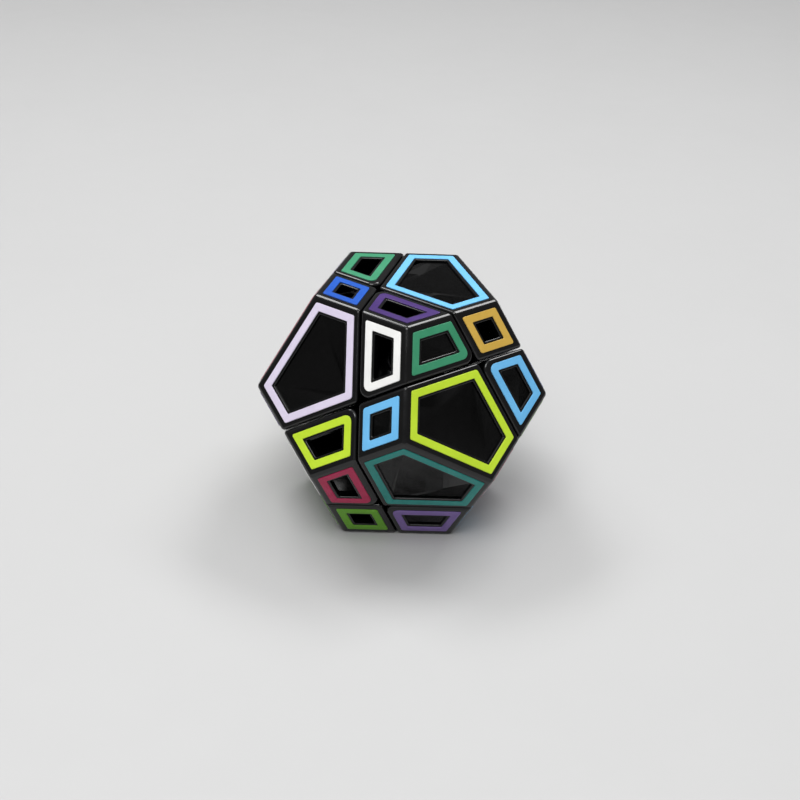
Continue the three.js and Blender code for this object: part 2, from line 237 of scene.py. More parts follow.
def standing() -> Matrix:
    """Stands the puzzle on a face, with its first screwed corner towards the front.

    Returns:
        The matrix from millimetres on the cube's axes to metres in the frame.
    """
    top = Vector((0, PHI, 1)).normalized()
    front = SCREW_AXES[0]
    back = -(front - front.dot(top) * top).normalized()
    turn = Matrix((back.cross(top), back, top)).to_4x4()
    return Matrix.Translation((CAD_LOW + CAD_HIGH) / 2) @ turn @ Matrix.Scale(MM, 4)


STANDING = standing()
BODY_OF = {node: body for body, nodes in frame["record"]["behaviour"]["bodies"].items() for node in nodes}


# ---------------------------------------------------------------------------------------------- shaping

def only(kind: type, geom: list) -> list:
    """Picks the vertices, edges or faces out of an operator's result."""
    return [each for each in geom if isinstance(each, kind)]


def cut_away(bm: bmesh.types.BMesh, plane: Plane) -> None:
    """Takes off what is past a plane, and closes the cut.

    Args:
        bm: The mesh to cut.
        plane: The plane to cut along.
    """
    everything = bm.verts[:] + bm.edges[:] + bm.faces[:]
    cut = bmesh.ops.bisect_plane(
        bm,
        geom=everything,
        dist=1e-5,
        plane_co=plane.normal * plane.distance,
        plane_no=plane.normal,
        clear_outer=True,
    )
    bmesh.ops.holes_fill(bm, edges=only(bmesh.types.BMEdge, cut["geom_cut"]), sides=0)


def round_ridge(bm: bmesh.types.BMesh, first: Plane, second: Plane, radius: float, strips: int) -> None:
    """Rounds the ridge between two planes at equal distances, strip by strip.

    Args:
        bm: The mesh to cut.
        first: One of the planes.
        second: The other.
        radius: The radius of the round.
        strips: How many strips the round has.
    """
    total = first.normal.angle(second.normal)
    middle = (first.normal + second.normal) * (first.distance - radius) / (1 + math.cos(total))
    for strip in range(1, strips):
        normal = first.normal.slerp(second.normal, strip / strips)
        cut_away(bm, Plane(normal, normal.dot(middle) + radius))


def flat_face(bm: bmesh.types.BMesh, plane: Plane) -> bmesh.types.BMFace:
    """Finds the largest face that lies on a plane.

    Args:
        bm: The mesh to look in.
        plane: The plane of the face.

    Returns:
        The face.
    """
    bm.normal_update()
    flat = [face for face in bm.faces if all(plane.holds(vert.co) for vert in face.verts)]
    return max(flat, key=lambda face: face.calc_area())


def open_face(bm: bmesh.types.BMesh, plane: Plane) -> list[bmesh.types.BMEdge]:
    """Takes out the face on a plane.

    Args:
        bm: The mesh to open.
        plane: The plane of the face.

    Returns:
        The edges round the opening.
    """
    face = flat_face(bm, plane)
    rim = face.edges[:]
    bmesh.ops.delete(bm, geom=[face], context="FACES_ONLY")
    return rim


def rounded_points(outline: Outline, inset: float, radii: list[float], segments: int) -> list[Vector]:
    """Draws an outline moved inwards, with its corners rounded.

    Args:
        outline: The outline on the skin.
        inset: How far each side moves inwards.
        radii: The radius of each corner.
        segments: How many steps each round corner has.

    Returns:
        The points of the new outline, in order.
    """
    bm = bmesh.new()
    corners = [bm.verts.new(corner) for corner in outline.corners]
    sheet = bm.faces.new(corners)
    sheet.normal_update()
    bmesh.ops.inset_individual(bm, faces=[sheet], thickness=inset, use_even_offset=True)
    bmesh.ops.delete(bm, geom=corners, context="VERTS")
    bm.faces.ensure_lookup_table()
    nearest = {}
    for corner, radius in zip(outline.corners, radii):
        nearest[min(bm.verts, key=lambda vert: (vert.co - corner).length)] = radius
    for vert, radius in nearest.items():
        before, after = ((edge.other_vert(vert).co - vert.co) for edge in vert.link_edges)
        bmesh.ops.bevel(
            bm,
            geom=[vert],
            offset=radius / math.tan(before.angle(after) / 2),
            offset_type="OFFSET",
            segments=segments,
            profile=0.5,
            affect="VERTICES",
            material=-1,
        )
    bm.faces.ensure_lookup_table()
    points = [vert.co.copy() for vert in bm.faces[0].verts]
    bm.free()
    return points


def draw_loop(bm: bmesh.types.BMesh, points: list[Vector]) -> list[bmesh.types.BMEdge]:
    """Draws a closed line through points.

    Args:
        bm: The mesh to draw in.
        points: The points, in order.

    Returns:
        The edges of the line.
    """
    verts = [bm.verts.new(point) for point in points]
    return [bm.edges.new((vert, verts[index - 1])) for index, vert in enumerate(verts)]


def sink(bm: bmesh.types.BMesh, loop: list[bmesh.types.BMEdge], step: Vector) -> list[bmesh.types.BMEdge]:
    """Extrudes a closed line straight along a step.

    Args:
        bm: The mesh that holds the line.
        loop: The edges of the line.
        step: How far to extrude it, and which way.

    Returns:
        The edges at the far end.
    """
    new = bmesh.ops.extrude_edge_only(bm, edges=loop)["geom"]
    far = only(bmesh.types.BMVert, new)
    bmesh.ops.translate(bm, verts=far, vec=step)
    ends = set(far)
    return [edge for edge in only(bmesh.types.BMEdge, new) if ends.issuperset(edge.verts)]


def bevel_edges(bm: bmesh.types.BMesh, edges: list[bmesh.types.BMEdge], offset: float, segments: int) -> None:
    """Rounds edges, and marks the middle of the round as worn.

    Args:
        bm: The mesh to round.
        edges: The edges.
        offset: How far the round reaches along each face.
        segments: How many strips it has.
    """
    worn = bm.verts.layers.float.get("wear") or bm.verts.layers.float.new("wear")
    # The layer is made before the edges are looked up, because making it renews every reference.
    strips = set(
        bmesh.ops.bevel(
            bm,
            geom=edges,
            offset=offset,
            offset_type="OFFSET",
            segments=segments,
            profile=0.5,
            affect="EDGES",
            material=-1,
            clamp_overlap=False,
        )["faces"]
    )
    for vert in {vert for strip in strips for vert in strip.verts}:
        if strips.issuperset(vert.link_faces):
            vert[worn] = 1.0


def to_piece(bm: bmesh.types.BMesh, name: str, sharp_degrees: float) -> bpy.types.Object:
    """Finishes a mesh and puts it in the frame.

    Args:
        bm: The mesh, in millimetres on the cube's axes. It is freed.
        name: The name of the piece.
        sharp_degrees: The angle past which an edge is shaded sharp.

    Returns:
        The new piece.
    """
    bmesh.ops.remove_doubles(bm, verts=bm.verts[:], dist=1e-4)
    bmesh.ops.dissolve_degenerate(bm, edges=bm.edges[:], dist=1e-4)
    bmesh.ops.recalc_face_normals(bm, faces=bm.faces[:])
    bmesh.ops.transform(bm, matrix=STANDING, verts=bm.verts[:])
    for face in bm.faces:
        face.smooth = True
    for edge in bm.edges:
        edge.smooth = len(edge.link_faces) != 2 or edge.calc_face_angle() < math.radians(sharp_degrees)
    open_edges = sum(1 for edge in bm.edges if len(edge.link_faces) != 2)
    mesh = bpy.data.meshes.new(name)
    bm.to_mesh(mesh)
    bm.free()
    piece = bpy.data.objects.new(name, mesh)
    bpy.context.scene.collection.objects.link(piece)
    shading = piece.modifiers.new("even_shading", "WEIGHTED_NORMAL")
    shading.keep_sharp = True
    log.info("%s: %d faces, %d open edges", name, len(mesh.polygons), open_edges)
    return piece


def dress(piece: bpy.types.Object, material: bpy.types.Material) -> None:
    """Gives a piece or a node of the frame one material all over."""
    piece.data.materials.clear()
    piece.data.materials.append(material)


# -------------------------------------------------------------------------------------------- finishes

def linear(colour: tuple[float, ...]) -> tuple[float, float, float, float]:
    """Turns a colour as shown on a screen into the colour that a shader takes.

    Args:
        colour: Red, green and blue from 0 to 1.

    Returns:
        Linear red, green, blue, and full opacity.
    """
    bent = [part / 12.92 if part <= 0.04045 else ((part + 0.055) / 1.055) ** 2.4 for part in colour]
    return (*bent, 1.0)


class Recipe:
    """A material in the making: its nodes, its shader, and short ways to add to them."""

    def __init__(self, name: str) -> None:
        """Starts a material with one shader.

        Args:
            name: The name of the material.
        """
        self.material = bpy.data.materials.new(name)
        self.material.use_nodes = True
        self.nodes = self.material.node_tree.nodes
        self.links = self.material.node_tree.links
        self.shader = self.nodes["Principled BSDF"]
        self.place = self.add("ShaderNodeTexCoord").outputs["Object"]

    def add(self, kind: str, **settings: object) -> bpy.types.Node:
        """Adds a node.

        Args:
            kind: The node's type.
            settings: Its properties.

        Returns:
            The node.
        """
        node = self.nodes.new(kind)
        for key, value in settings.items():
            setattr(node, key, value)
        return node

    def noise(self, scale: float, detail: float, roughness: float = 0.5) -> bpy.types.NodeSocket:
        """Adds a noise over the piece.

        Args:
            scale: Its scale, in waves per metre.
            detail: How many octaves it has.
            roughness: How strong the fine octaves are.

        Returns:
            Its value, from 0 to 1.
        """
        node = self.add("ShaderNodeTexNoise")
        node.inputs["Scale"].default_value = scale
        node.inputs["Detail"].default_value = detail
        node.inputs["Roughness"].default_value = roughness
        self.links.new(self.place, node.inputs["Vector"])
        return node.outputs["Fac"]

    def scratches(self, turn: tuple[float, float, float], scale: float, width: float) -> bpy.types.NodeSocket:
        """Adds fine straight scratches along one direction.

        Args:
            turn: How the pattern is turned, in radians.
            scale: How many scratches there are, per metre.
            width: The share of the noise that counts as a scratch.

        Returns:
            A value of 1 on a scratch and 0 elsewhere.
        """
        mapping = self.add("ShaderNodeMapping")
        mapping.inputs["Rotation"].default_value = turn
        mapping.inputs["Scale"].default_value = (0.04, 1.0, 1.0)
        self.links.new(self.place, mapping.inputs["Vector"])
        node = self.add("ShaderNodeTexNoise")
        node.inputs["Scale"].default_value = scale
        node.inputs["Detail"].default_value = 3.0
        self.links.new(mapping.outputs["Vector"], node.inputs["Vector"])
        return self.spread(node.outputs["Fac"], (1 - width - 0.04, 1 - width), (0.0, 1.0))

    def spread(
        self, value: bpy.types.NodeSocket, source: tuple[float, float], target: tuple[float, float]
    ) -> bpy.types.NodeSocket:
        """Maps a value from one range to another.

        Args:
            value: The value.
            source: The range that it comes in.
            target: The range that it leaves in.

        Returns:
            The mapped value, held within the target.
        """
        node = self.add("ShaderNodeMapRange")
        self.links.new(value, node.inputs["Value"])
        for name, number in zip(("From Min", "From Max", "To Min", "To Max"), (*source, *target)):
            node.inputs[name].default_value = number
        return node.outputs["Result"]

    def combine(self, operation: str, first: object, second: object) -> bpy.types.NodeSocket:
        """Does arithmetic on two values.

        Args:
            operation: What to do, such as ADD.
            first: A socket or a number.
            second: A socket or a number.

        Returns:
            The result.
        """
        node = self.add("ShaderNodeMath", operation=operation)
        for value, socket in zip((first, second), node.inputs):
            if isinstance(value, bpy.types.NodeSocket):
                self.links.new(value, socket)
            else:
                socket.default_value = value
        return node.outputs[0]

    def blend(
        self, share: bpy.types.NodeSocket, low: tuple[float, ...], high: tuple[float, ...]
    ) -> bpy.types.NodeSocket:
        """Blends two colours.

        Args:
            share: How much of the second there is.
            low: The first colour.
            high: The second colour.

        Returns:
            The blended colour.
        """
        node = self.add("ShaderNodeValToRGB")
        node.color_ramp.elements[0].color = low
        node.color_ramp.elements[1].color = high
        self.links.new(share, node.inputs["Fac"])
        return node.outputs["Color"]

    def attribute(self, name: str) -> bpy.types.NodeSocket:
        """Reads one of the mesh's own values."""
        return self.add("ShaderNodeAttribute", attribute_name=name).outputs["Fac"]

    def bump(self, height: bpy.types.NodeSocket, strength: float, distance: float) -> None:
        """Raises the surface by a value.

        Args:
            height: The value.
            strength: How much of it shows.
            distance: The height of a value of 1, in metres.
        """
        node = self.add("ShaderNodeBump")
        node.inputs["Strength"].default_value = strength
        node.inputs["Distance"].default_value = distance
        self.links.new(height, node.inputs["Height"])
        self.links.new(node.outputs["Normal"], self.shader.inputs["Normal"])

    def feed(self, socket: str, value: bpy.types.NodeSocket) -> None:
        """Leads a value into the shader."""
        self.links.new(value, self.shader.inputs[socket])


@dataclass(frozen=True)
class GlossPlastic:
    """Polished moulded plastic, with hairline scratches, specks of dust and rubbed edges."""

    name: str
    colour: tuple[float, float, float]
    rubbed: tuple[float, float, float]
    roughness: tuple[float, float] = (0.1, 0.18)
    edge_roughness: float = 0.05
    waviness: float = 0.00002

    def make(self) -> bpy.types.Material:
        """Makes the material."""
        recipe = Recipe(self.name)
        smears = recipe.noise(90, 6, 0.6)
        scratches = recipe.combine(
            "MAXIMUM",
            recipe.scratches((0.4, 0.7, 0.2), 1500, 0.30),
            recipe.scratches((1.3, -0.5, 1.9), 1300, 0.31),
        )
        dust = recipe.spread(recipe.noise(5200, 2), (0.73, 0.77), (0.0, 1.0))
        rub = recipe.combine("MULTIPLY", recipe.attribute("wear"), recipe.spread(smears, (0.4, 0.7), (0.1, 0.7)))
        grey = recipe.combine("ADD", recipe.combine("MULTIPLY", rub, 0.15), recipe.combine("MULTIPLY", dust, 0.4))
        recipe.feed("Base Color", recipe.blend(grey, linear(self.colour), linear(self.rubbed)))
        rough = recipe.spread(smears, (0.3, 0.75), self.roughness)
        rough = recipe.combine("ADD", rough, recipe.combine("MULTIPLY", scratches, 0.015))
        rough = recipe.combine("ADD", rough, recipe.combine("MULTIPLY", rub, self.edge_roughness))
        recipe.feed("Roughness", rough)
        recipe.bump(recipe.noise(240, 1), 0.3, self.waviness)
        recipe.shader.inputs["IOR"].default_value = 1.47
        return recipe.material


@dataclass(frozen=True)
class SatinPlastic:
    """Coloured moulded plastic with a fine satin grain, a little paler where its edges are rubbed."""

    name: str
    colour: tuple[float, float, float]
    roughness: tuple[float, float] = (0.36, 0.5)
    variation: float = 0.05
    grain: float = 0.00003

    def make(self) -> bpy.types.Material:
        """Makes the material."""
        recipe = Recipe(self.name)
        clouds = recipe.noise(140, 5, 0.6)
        rub = recipe.combine("MULTIPLY", recipe.attribute("wear"), recipe.spread(clouds, (0.45, 0.65), (0.0, 0.5)))
        share = recipe.combine("ADD", recipe.spread(clouds, (0.3, 0.7), (0.0, 0.8)), rub)
        darker = tuple(part * (1 - self.variation) for part in self.colour)
        paler = tuple(part + (1 - part) * self.variation for part in self.colour)
        recipe.feed("Base Color", recipe.blend(share, linear(darker), linear(paler)))
        recipe.feed("Roughness", recipe.spread(recipe.noise(700, 4), (0.3, 0.7), self.roughness))
        recipe.bump(recipe.noise(4200, 3), 0.25, self.grain)
        return recipe.material


@dataclass(frozen=True)
class Nylon:
    """Tough matt nylon for the parts that slide, polished in streaks where they rub."""

    name: str
    colour: tuple[float, float, float]
    roughness: tuple[float, float] = (0.3, 0.55)

    def make(self) -> bpy.types.Material:
        """Makes the material."""
        recipe = Recipe(self.name)
        streaks = recipe.scratches((0.2, 0.9, 0.5), 2600, 0.42)
        clouds = recipe.noise(220, 5)
        paler = tuple(part + 0.05 for part in self.colour)
        recipe.feed("Base Color", recipe.blend(clouds, linear(self.colour), linear(paler)))
        rough = recipe.spread(clouds, (0.3, 0.7), self.roughness)
        recipe.feed("Roughness", recipe.combine("SUBTRACT", rough, recipe.combine("MULTIPLY", streaks, 0.1)))
        recipe.bump(recipe.noise(3000, 3), 0.3, 0.00004)
        return recipe.material


@dataclass(frozen=True)
class Steel:
    """Bright plated steel with fine drawn or turned lines."""

    name: str
    colour: tuple[float, float, float] = (0.78, 0.79, 0.81)
    roughness: tuple[float, float] = (0.16, 0.36)

    def make(self) -> bpy.types.Material:
        """Makes the material."""
        recipe = Recipe(self.name)
        lines = recipe.scratches((0.3, 0.3, 0.8), 7000, 0.45)
        clouds = recipe.noise(500, 4)
        darker = tuple(part * 0.9 for part in self.colour)
        recipe.feed("Base Color", recipe.blend(clouds, linear(darker), linear(self.colour)))
        rough = recipe.spread(clouds, (0.3, 0.7), self.roughness)
        recipe.feed("Roughness", recipe.combine("ADD", rough, recipe.combine("MULTIPLY", lines, 0.08)))
        recipe.bump(lines, 0.2, 0.00002)
        recipe.shader.inputs["Metallic"].default_value = 1.0
        return recipe.material


@dataclass(frozen=True)
class StudioFloor:
    """Plain pale painted board."""

    name: str = "studio_floor"
    colour: tuple[float, float, float] = (0.74, 0.74, 0.74)

    def make(self) -> bpy.types.Material:
        """Makes the material."""
        recipe = Recipe(self.name)
        darker = tuple(part - 0.012 for part in self.colour)
        recipe.feed("Base Color", recipe.blend(recipe.noise(9, 4), linear(darker), linear(self.colour)))
        recipe.feed("Roughness", recipe.spread(recipe.noise(60, 3), (0.3, 0.7), (0.62, 0.75)))
        recipe.bump(recipe.noise(900, 3), 0.15, 0.0001)
        return recipe.material


# ---------------------------------------------------------------------------------------------- shells

@dataclass
class Shell:
    """A hollow piece of the puzzle with a window in each of its faces. Sizes are in millimetres."""

    name: str
    kind: Kind
    axis: Vector
    half_gap: float = 0.2
    outer_wall: float = 2.0
    side_wall: float = 1.3
    floor_bottom: float = 20.3
    floor_top: float = 21.7
    floor_spread: float = math.radians(60)
    floor_steps: int = 18
    floor_sides: int = 80
    edge_round: float = 0.8
    edge_strips: int = 5
    ridge_strips: int = 8
    hollow_ridge: float = 2.6
    groove_inset: float = 1.75
    groove_width: float = 2.15
    groove_depth: float = 0.65
    window_inset: float = 4.55
    rim_round: float = 0.28
    rim_strips: int = 3
    corner_steps: int = 7

    @property
    def hole_radius(self) -> float:
        """The radius of the hole in the floor, which the boss of the foot stands in."""
        return 4.7 if self.kind is Kind.CORNER else 5.3

    @property
    def ridge_round(self) -> float:
        """The radius of the upright edges, where the cuts cross."""
        return 2.6 if self.kind is Kind.CORNER else 1.2

    @property
    def outlines(self) -> list[Outline]:
        """The outlines that this shell has on the faces."""
        return [outline for outline in OUTLINES if outline.owner.dot(self.axis) > SAME_WAY]

    def cuts(self, gap: float) -> list[Plane]:
        """Lists the cuts beside the shell, moved inwards by a gap."""
        normals = [axis * -math.copysign(1, axis.dot(self.axis)) for axis in SCREW_AXES]
        return [Plane(normal, -gap) for normal in normals if abs(normal.dot(self.axis)) < SAME_WAY]

    def blank(self, gap: float, depth: float, floor: float, ridge: float) -> bmesh.types.BMesh:
        """Shapes a solid with a round floor, cut back to the shell's own share of the puzzle.

        Args:
            gap: How far its sides are from the cuts.
            depth: How far its faces are under the skin.
            floor: The radius of its floor.
            ridge: The radius of its upright edges.

        Returns:
            The solid, open only at the hole in its floor.
        """
        bm = bmesh.new()
        lean = math.asin(self.hole_radius / floor)
        start = bm.verts.new((self.hole_radius, 0, floor * math.cos(lean)))
        swept = self.floor_spread - lean
        arc = bmesh.ops.spin(
            bm, geom=[start], cent=ORIGIN, axis=Vector(Y), angle=swept, steps=self.floor_steps
        )
        rim = only(bmesh.types.BMVert, arc["geom_last"])
        side = bmesh.ops.extrude_vert_indiv(bm, verts=rim)["verts"]
        bmesh.ops.scale(bm, vec=Vector((1, 1, 1)) * FAR / floor, verts=side)
        roof = bmesh.ops.extrude_vert_indiv(bm, verts=side)["verts"]
        bmesh.ops.scale(bm, vec=Vector((0, 0, 1)), verts=roof)
        profile = bm.verts[:] + bm.edges[:]
        bmesh.ops.spin(
            bm, geom=profile, cent=ORIGIN, axis=UP, angle=math.tau, steps=self.floor_sides, use_merge=True
        )
        bmesh.ops.remove_doubles(bm, verts=bm.verts[:], dist=1e-4)
        bmesh.ops.transform(bm, matrix=self.axis.to_track_quat("Z", "Y").to_matrix().to_4x4(), verts=bm.verts[:])
        cuts = self.cuts(gap)
        for plane in cuts:
            cut_away(bm, plane)
        for first, second in combinations(cuts, 2):
            round_ridge(bm, first, second, ridge, self.ridge_strips)
        for outline in self.outlines:
            cut_away(bm, Plane(outline.skin.normal, INRADIUS - depth))
        return bm

    def skin(self) -> bmesh.types.BMesh:
        """Shapes the outside of the shell, with rounded edges."""
        bm = self.blank(self.half_gap, 0.0, self.floor_bottom, self.ridge_round)
        bm.verts.layers.float.new("wear")
        edges = {edge for outline in self.outlines for edge in flat_face(bm, outline.skin).edges}
        bevel_edges(bm, list(edges), self.edge_round, self.edge_strips)
        return bm

    def hollow(self) -> bmesh.types.BMesh:
        """Shapes the inside of the shell, with softly rounded corners."""
        bm = self.blank(self.half_gap + self.side_wall, self.outer_wall, self.floor_top, self.hollow_ridge)
        bm.verts.layers.float.new("wear")
        inner = [Plane(outline.skin.normal, INRADIUS - self.outer_wall) for outline in self.outlines]
        edges = {edge for plane in inner for edge in flat_face(bm, plane).edges}
        bmesh.ops.bevel(
            bm,
            geom=list(edges),
            offset=0.7,
            offset_type="OFFSET",
            segments=4,
            profile=0.5,
            affect="EDGES",
            material=-1,
            clamp_overlap=False,
        )
        return bm

    def cut_window(self, bm: bmesh.types.BMesh, outline: Outline, inner_rim: list[bmesh.types.BMEdge]) -> None:
        """Cuts the groove for a window's frame, and the window through to the hollow.

        Args:
            bm: The mesh of the shell.
            outline: The window's outline.
            inner_rim: The edges of the opening that waits for the window inside.
        """
        down = -outline.skin.normal
        outer = draw_loop(bm, WindowFrame.round_points(outline, self.groove_inset, True, self.corner_steps))
        bmesh.ops.triangle_fill(bm, edges=open_face(bm, outline.skin) + outer, use_beauty=True)
        floor_outer = sink(bm, outer, down * self.groove_depth)
        far = self.groove_inset + self.groove_width
        inner = draw_loop(bm, WindowFrame.round_points(outline, far, False, self.corner_steps))
        rim = draw_loop(bm, WindowFrame.round_points(outline, self.window_inset, False, self.corner_steps))
        bmesh.ops.bridge_loops(bm, edges=inner + rim)
        floor_inner = sink(bm, inner, down * self.groove_depth)
        bmesh.ops.bridge_loops(bm, edges=floor_outer + floor_inner)
        bottom = sink(bm, rim, down * self.outer_wall)
        bmesh.ops.triangle_fill(bm, edges=bottom + inner_rim, use_beauty=True)
        bevel_edges(bm, rim, self.rim_round, self.rim_strips)

    def build(self) -> bpy.types.Object:
        """Shapes the whole shell.

        Returns:
            The finished piece.
        """
        bm = self.skin()
        inside = bpy.data.meshes.new("inside")
        hollow = self.hollow()
        hollow.to_mesh(inside)
        hollow.free()
        bm.from_mesh(inside)
        bpy.data.meshes.remove(inside)
        for outline in self.outlines:
            rim = open_face(bm, Plane(outline.skin.normal, INRADIUS - self.outer_wall))
            self.cut_window(bm, outline, rim)
        hole = [edge for edge in bm.edges if edge.is_boundary]
        bmesh.ops.bridge_loops(bm, edges=hole)
        return to_piece(bm, f"{self.name}_casing", 38)

    def place(self, piece: bpy.types.Object, material: bpy.types.Material) -> None:
        """Dresses the shell, and puts it in place of the frame's plain one.

        Args:
            piece: The finished shell.
            material: Its plastic.
        """
        node = f"{self.name}_shell"
        dress(piece, material)
        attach(piece, BODY_OF[node])
        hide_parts(node)


@dataclass
class WindowFrame:
    """The coloured frame round one window. Sizes are in millimetres."""

    outline: Outline
    inset: float = 1.8
    width: float = 2.05
    depth: float = 0.6
    edge_round: float = 0.14
    edge_strips: int = 3
    corner_steps: int = 7

    @staticmethod
    def round_points(outline: Outline, inset: float, outside: bool, steps: int) -> list[Vector]:
        """Draws a frame's outer or inner line on the skin.

        Args:
            outline: The outline that the frame follows.
            inset: How far inside the outline the line runs.
            outside: True for the outer line, which is rounder where the cuts cross.
            steps: How many steps each round corner has.

        Returns:
            The points of the line, in order.
        """
        radii = [0.5 if outside else 0.28] * len(outline.corners)
        if outside:
            radii[outline.crossing] = 1.8 if outline.shape is Shape.TRAPEZOID else 0.9
        return rounded_points(outline, inset, radii, steps)

    @property
    def owner(self) -> str:
        """The name of the piece that holds the frame."""
        pieces = {**CORNERS, **EDGES}
        return max(pieces, key=lambda name: Vector(pieces[name]).normalized().dot(self.outline.owner))

    @property
    def hue_name(self) -> str:
        """The colour's name, as it is in the names of pieces."""
        return self.outline.hue.name.lower()

    def build(self) -> bpy.types.Object:
        """Shapes the frame.

        Returns:
            The finished piece.
        """
        bm = bmesh.new()
        up = self.outline.skin.normal
        outer = draw_loop(bm, self.round_points(self.outline, self.inset, True, self.corner_steps))
        far = self.inset + self.width
        inner = draw_loop(bm, self.round_points(self.outline, far, False, self.corner_steps))
        ring = bmesh.ops.bridge_loops(bm, edges=outer + inner)["faces"]
        bmesh.ops.translate(bm, verts=bm.verts[:], vec=up * FRAME_PROUD)
        bm.verts.layers.float.new("wear")
        ring = bm.faces[:]
        new = bmesh.ops.extrude_face_region(bm, geom=ring)["geom"]
        bottom = only(bmesh.types.BMVert, new)
        bmesh.ops.translate(bm, verts=bottom, vec=-up * (self.depth + FRAME_PROUD))
        skin = Plane(up, INRADIUS + FRAME_PROUD)
        bm.normal_update()
        top = [edge for edge in bm.edges if all(skin.holds(vert.co) for vert in edge.verts)]
        rims = [edge for edge in top if any(not self.flat(face, up) for face in edge.link_faces)]
        bevel_edges(bm, rims, self.edge_round, self.edge_strips)
        name = f"{self.owner}_{self.hue_name}_{self.outline.shape.value}_frame"
        return to_piece(bm, name, 38)

    @staticmethod
    def flat(face: bmesh.types.BMFace, up: Vector) -> bool:
        """Says whether a face lies level on the skin."""
        return abs(face.normal.dot(up)) > SAME_WAY

    def place(self, piece: bpy.types.Object, material: bpy.types.Material) -> None:
        """Dresses the frame, and fixes it to its piece.

        Args:
            piece: The finished frame.
            material: Its plastic.
        """
        dress(piece, material)
        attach(piece, BODY_OF[f"{self.owner}_shell"])
        if self.outline.shape is Shape.PENTAGON:
            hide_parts(f"{self.hue_name}_pentagon_frame")


@dataclass
class ScrewCap:
    """The round cap that closes the well over a screw. Sizes are in millimetres."""

    name: str
    axis: Vector
    plug_bottom: float = 21.3
    plug_radius: float = 3.0
    brim_bottom: float = 22.7
    brim_radius: float = 4.2
    top: float = 23.7
    sides: int = 64

    def build(self) -> bpy.types.Object:
        """Turns the cap from its profile.

        Returns:
            The finished piece.
        """
        bm = bmesh.new()
        profile = [
            (0.0, self.plug_bottom),
            (self.plug_radius, self.plug_bottom),
            (self.plug_radius, self.brim_bottom),
            (self.brim_radius, self.brim_bottom),
            (self.brim_radius, self.top - 0.2),
            (0.0, self.top),
        ]
        verts = [bm.verts.new((radius, 0, height)) for radius, height in profile]
        edges = [bm.edges.new(pair) for pair in zip(verts, verts[1:])]
        bmesh.ops.spin(
            bm, geom=verts + edges, cent=ORIGIN, axis=UP, angle=math.tau, steps=self.sides, use_merge=True
        )
        bmesh.ops.remove_doubles(bm, verts=bm.verts[:], dist=1e-4)
        bmesh.ops.recalc_face_normals(bm, faces=bm.faces[:])
        bm.verts.layers.float.new("wear")
        rims = [edge for edge in bm.edges if edge.calc_face_angle(0) > math.radians(45)]
        bevel_edges(bm, rims, 0.25, 4)
        bmesh.ops.transform(bm, matrix=self.axis.to_track_quat("Z", "Y").to_matrix().to_4x4(), verts=bm.verts[:])
        return to_piece(bm, f"{self.name}_screw_cap", 38)

    def place(self, piece: bpy.types.Object, material: bpy.types.Material) -> None:
        """Dresses the cap, and puts it in place of the frame's plain one.

        Args:
            piece: The finished cap.
            material: Its plastic.
        """
        node = f"{self.name}_cap"
        dress(piece, material)
        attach(piece, BODY_OF[node])
        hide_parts(node)


@dataclass
class Spring:
    """The coil spring between a washer and the head of its screw. Sizes are in millimetres."""

    name: str
    axis: Vector
    bottom: float = 16.0
    top: float = 19.1
    radius: float = 2.2
    wire: float = 0.22
    turns: int = 3
    steps_per_turn: int = 40
    wire_sides: int = 14
    washer_top: float = 15.7
    head_bottom: float = 19.4
    travel: float = 0.8

    def build(self) -> bpy.types.Object:
        """Winds the spring.

        Returns:
            The finished piece.
        """
        bm = bmesh.new()
        start = Matrix.Translation((self.radius, 0, self.bottom + self.wire)) @ Matrix.Rotation(math.pi / 2, 4, "X")
        bmesh.ops.create_circle(bm, segments=self.wire_sides, radius=self.wire, matrix=start)
        steps = self.turns * self.steps_per_turn
        rise = (self.top - self.bottom - 2 * self.wire) / steps
        section = bm.verts[:] + bm.edges[:]
        bmesh.ops.spin(
            bm, geom=section, cent=ORIGIN, axis=UP, dvec=UP * rise, angle=self.turns * math.tau, steps=steps
        )
        bmesh.ops.holes_fill(bm, edges=[edge for edge in bm.edges if edge.is_boundary], sides=0)
        bmesh.ops.transform(bm, matrix=self.axis.to_track_quat("Z", "Y").to_matrix().to_4x4(), verts=bm.verts[:])
        piece = to_piece(bm, f"{self.name}_spring_coil", 60)
        piece.modifiers.clear()
        return piece

    def place(self, piece: bpy.types.Object, material: bpy.types.Material) -> None:
        """Dresses the spring, and puts it in place of the frame's plain one, with a mesh of its own.

        Args:
            piece: The finished spring.
            material: Its steel.
        """
        node = f"{self.name}_spring"
        dress(piece, material)
        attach(piece, BODY_OF[node])
        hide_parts(node)
        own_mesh(piece)


@dataclass
class Mechanism:
    """The core, feet, screws and washers, whose shapes come from the frame."""

    finishes: dict[str, object] = field(
        default_factory=lambda: {
            "core": Nylon("core_nylon", (0.09, 0.09, 0.10)),
            "foot": Nylon("foot_nylon", (0.075, 0.075, 0.082)),
            "screw": Steel("screw_steel"),
            "washer": Steel("washer_steel", (0.80, 0.79, 0.76), (0.22, 0.42)),
        }
    )

    def place(self) -> None:
        """Gives each node its finish, by the last word of its name."""
        materials = {word: finish.make() for word, finish in self.finishes.items()}
        for name, node in frame["nodes"].items():
            word = name.rsplit("_", 1)[-1]
            if word in materials:
                dress(node, materials[word])
                log.info("%s: %s", name, materials[word].name)


# ---------------------------------------------------------------------------------------------- studio

@dataclass(frozen=True)
class Softbox:
    """A square soft light, by its place about the puzzle's centre, its side and its power."""

    name: str
    azimuth: float
    elevation: float
    distance: float
    side: float
    power: float
    depth: float = 0.0


